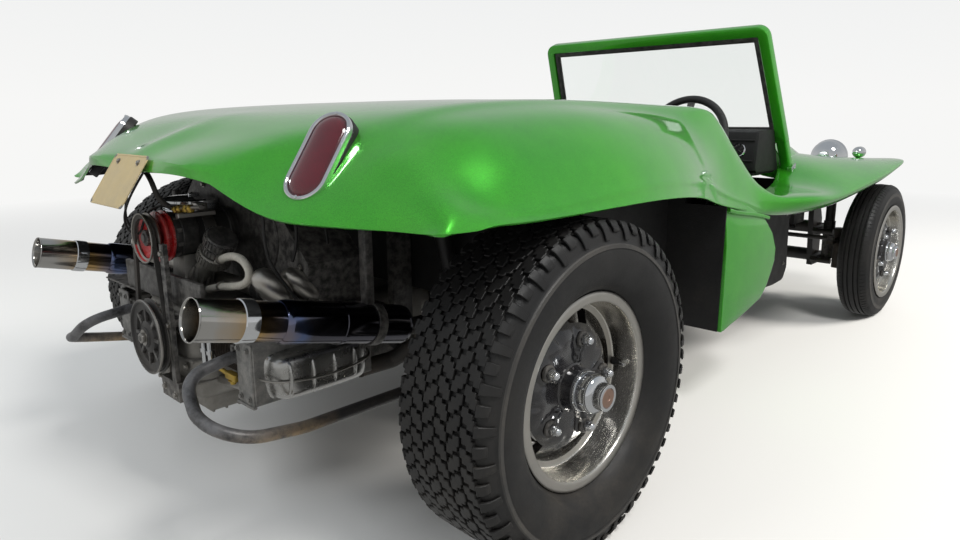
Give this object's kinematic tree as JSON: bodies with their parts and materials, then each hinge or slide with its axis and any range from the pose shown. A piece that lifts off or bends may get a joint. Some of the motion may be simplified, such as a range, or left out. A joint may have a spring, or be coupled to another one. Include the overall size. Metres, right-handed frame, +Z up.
{
  "type": "dune buggy",
  "caption": "Open-topped buggy with a moulded body, raked windscreen, flared fenders, exposed rear engine, wide rear wheels and steered front wheels.",
  "frame": {"origin": "on the ground under the middle of the vehicle", "axes": "+X forward, +Y to the left, +Z up"},
  "size_m": [3.4402, 1.756, 1.2308],
  "materials": {
    "body_paint": "metallic candy green gelcoat and clear lacquer",
    "black_paint": "satin black",
    "tub_black": "satin black moulding",
    "tyre": "black rubber",
    "rim": "polished lip with gloss black centre",
    "glass": "clear laminated glass",
    "chrome": "bright plating",
    "lamp_red": "dark red lens in a bright ring",
    "engine_alloy": "cast alloy with road dirt",
    "seat_trim": "black vinyl",
    "bare_steel": "polished steel tinted by heat",
    "red_paint": "red pulley",
    "plate": "blank yellow plate",
    "rubber": "black rubber"
  },
  "bodies": {
    "chassis": {"bonnet": "body_paint", "carburettor": "engine_alloy", "cockpit_side_left": "body_paint", "cockpit_side_right": "body_paint", "dash_panel": "tub_black", "engine": "engine_alloy", "engine_bracket": "black_paint", "exhaust_left": "bare_steel", "exhaust_right": "bare_steel", "fan_belt": "rubber", "fan_shroud": "black_paint", "floor_controls": "black_paint", "floor_pan": "tub_black", "frame_head": "black_paint", "front_beam": "black_paint", "front_fender_left": "body_paint", "front_fender_right": "body_paint", "front_lamps": "chrome", "front_seat_left": "seat_trim", "front_seat_right": "seat_trim", "fuel_tank": "black_paint", "generator": "black_paint", "nose_tray": "tub_black", "number_plate": "plate", "oil_filler": "black_paint", "rear_bench": "seat_trim", "rear_body": "body_paint", "rear_bumper": "black_paint", "rear_frame": "black_paint", "rear_tub": "tub_black", "rocker_covers": "chrome", "shock_absorbers": "black_paint", "side_pod_left": "body_paint", "side_pod_right": "body_paint", "steering_column": "black_paint", "tail_lamps": "lamp_red", "transaxle": "engine_alloy", "windscreen_frame": "body_paint", "windscreen_glass": "glass"},
    "rear_wheel_left": {"rear_tyre_left": "tyre", "rear_rim_left": "rim"},
    "rear_wheel_right": {"rear_tyre_right": "tyre", "rear_rim_right": "rim"},
    "front_wheel_left": {"front_tyre_left": "tyre", "front_rim_left": "rim"},
    "front_wheel_right": {"front_tyre_right": "tyre", "front_rim_right": "rim"},
    "knuckle_left": {"knuckle_left": "black_paint"},
    "knuckle_right": {"knuckle_right": "black_paint"},
    "track_rod": {"track_rod": "black_paint"},
    "pitman_arm": {"pitman_arm": "black_paint"},
    "steering_wheel": {"steering_wheel": "black_paint"},
    "crank_pulley": {"crank_pulley": "black_paint"},
    "generator_pulley": {"generator_pulley": "red_paint"}
  },
  "joints": [
    {"name": "rear_wheel_left_spin", "type": "hinge", "parent": "chassis", "child": "rear_wheel_left", "pos_m": [-1.075, 0.75, 0.355], "axis": [0, 1, 0], "continuous": true},
    {"name": "rear_wheel_right_spin", "type": "hinge", "parent": "chassis", "child": "rear_wheel_right", "pos_m": [-1.075, -0.75, 0.355], "axis": [0, 1, 0], "continuous": true},
    {"name": "knuckle_left_steer", "type": "hinge", "parent": "chassis", "child": "knuckle_left", "pos_m": [1.325, 0.56, 0.3], "axis": [0, 0, 1], "range_deg": [-28, 28]},
    {"name": "front_wheel_left_spin", "type": "hinge", "parent": "knuckle_left", "child": "front_wheel_left", "pos_m": [1.325, 0.704, 0.3], "axis": [0, 1, 0], "continuous": true},
    {"name": "knuckle_right_steer", "type": "hinge", "parent": "chassis", "child": "knuckle_right", "pos_m": [1.325, -0.56, 0.3], "axis": [0, 0, 1], "range_deg": [-28, 28]},
    {"name": "front_wheel_right_spin", "type": "hinge", "parent": "knuckle_right", "child": "front_wheel_right", "pos_m": [1.325, -0.704, 0.3], "axis": [0, 1, 0], "continuous": true},
    {"name": "track_rod_swing", "type": "hinge", "parent": "knuckle_left", "child": "track_rod", "pos_m": [1.2, 0.56, 0.352], "axis": [0, 0, 1], "range_deg": [-29, 29]},
    {"name": "pitman_swing", "type": "hinge", "parent": "chassis", "child": "pitman_arm", "pos_m": [1.325, -0.34, 0.366], "axis": [0, 0, 1], "range_deg": [-29, 29]},
    {"name": "steering_wheel_turn", "type": "hinge", "parent": "chassis", "child": "steering_wheel", "pos_m": [0.175, -0.34, 0.817], "axis": [0.9397, 0, -0.342], "range_deg": [-395, 395]},
    {"name": "crank_pulley_spin", "type": "hinge", "parent": "chassis", "child": "crank_pulley", "pos_m": [-1.622, 0, 0.419], "axis": [1, 0, 0], "continuous": true},
    {"name": "generator_pulley_spin", "type": "hinge", "parent": "chassis", "child": "generator_pulley", "pos_m": [-1.605, 0, 0.644], "axis": [1, 0, 0], "continuous": true}
  ],
  "couplings": [
    {"joint": "knuckle_right_steer", "follows": "knuckle_left_steer", "ratio": 1},
    {"joint": "track_rod_swing", "follows": "knuckle_left_steer", "ratio": -1},
    {"joint": "pitman_swing", "follows": "knuckle_left_steer", "ratio": 1},
    {"joint": "steering_wheel_turn", "follows": "knuckle_left_steer", "ratio": -14},
    {"joint": "generator_pulley_spin", "follows": "crank_pulley_spin", "ratio": 1.6932}
  ]
}
